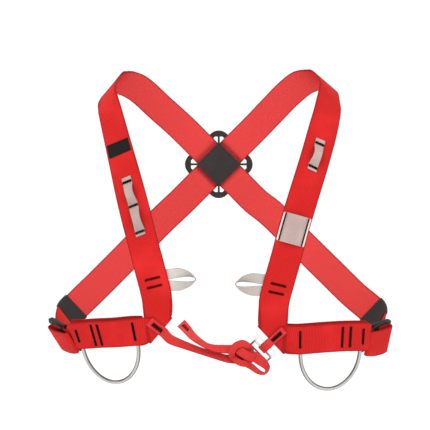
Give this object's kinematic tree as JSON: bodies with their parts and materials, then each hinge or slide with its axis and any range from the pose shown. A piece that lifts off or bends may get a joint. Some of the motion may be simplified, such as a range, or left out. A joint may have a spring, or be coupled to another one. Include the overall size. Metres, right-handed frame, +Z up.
{
  "type": "climbing chest harness",
  "caption": "Adjustable climbing chest harness of wide webbing, with crossed back straps, steel rings on the chest bands, gear loops and a knotted closing strap.",
  "frame": {"origin": "midway between the two shoulder tops, at the height where the straps rest on the shoulders", "axes": "+Z up, the wearer's front faces -Y, +X is to the right in a view from the front"},
  "size_m": [0.5162, 0.2224, 0.4811],
  "materials": {
    "red_webbing": "woven red webbing, matt",
    "grey_tape": "woven pale grey tape, matt",
    "black_elastic": "black ribbed elastic, matt",
    "black_label": "black woven label without lettering",
    "black_plastic": "moulded black plastic, satin",
    "steel_wire": "round steel wire, satin",
    "steel_clasp": "polished steel"
  },
  "bodies": {
    "root": {"left_main_strap": "red_webbing", "right_main_strap": "red_webbing", "closing_strap": "red_webbing", "closing_tab": "red_webbing", "left_side_buckle": "black_plastic", "right_side_buckle": "black_plastic", "back_cross_plate": "black_plastic", "left_keeper": "black_elastic", "right_keeper": "black_elastic", "blank_label": "black_label", "left_ring": "steel_wire", "right_ring": "steel_wire", "closing_clasp": "steel_clasp", "left_gear_loop": "grey_tape", "right_gear_loop": "grey_tape", "strap_sleeve": "grey_tape", "left_side_loop": "grey_tape", "right_side_loop": "grey_tape"}
  },
  "joints": []
}
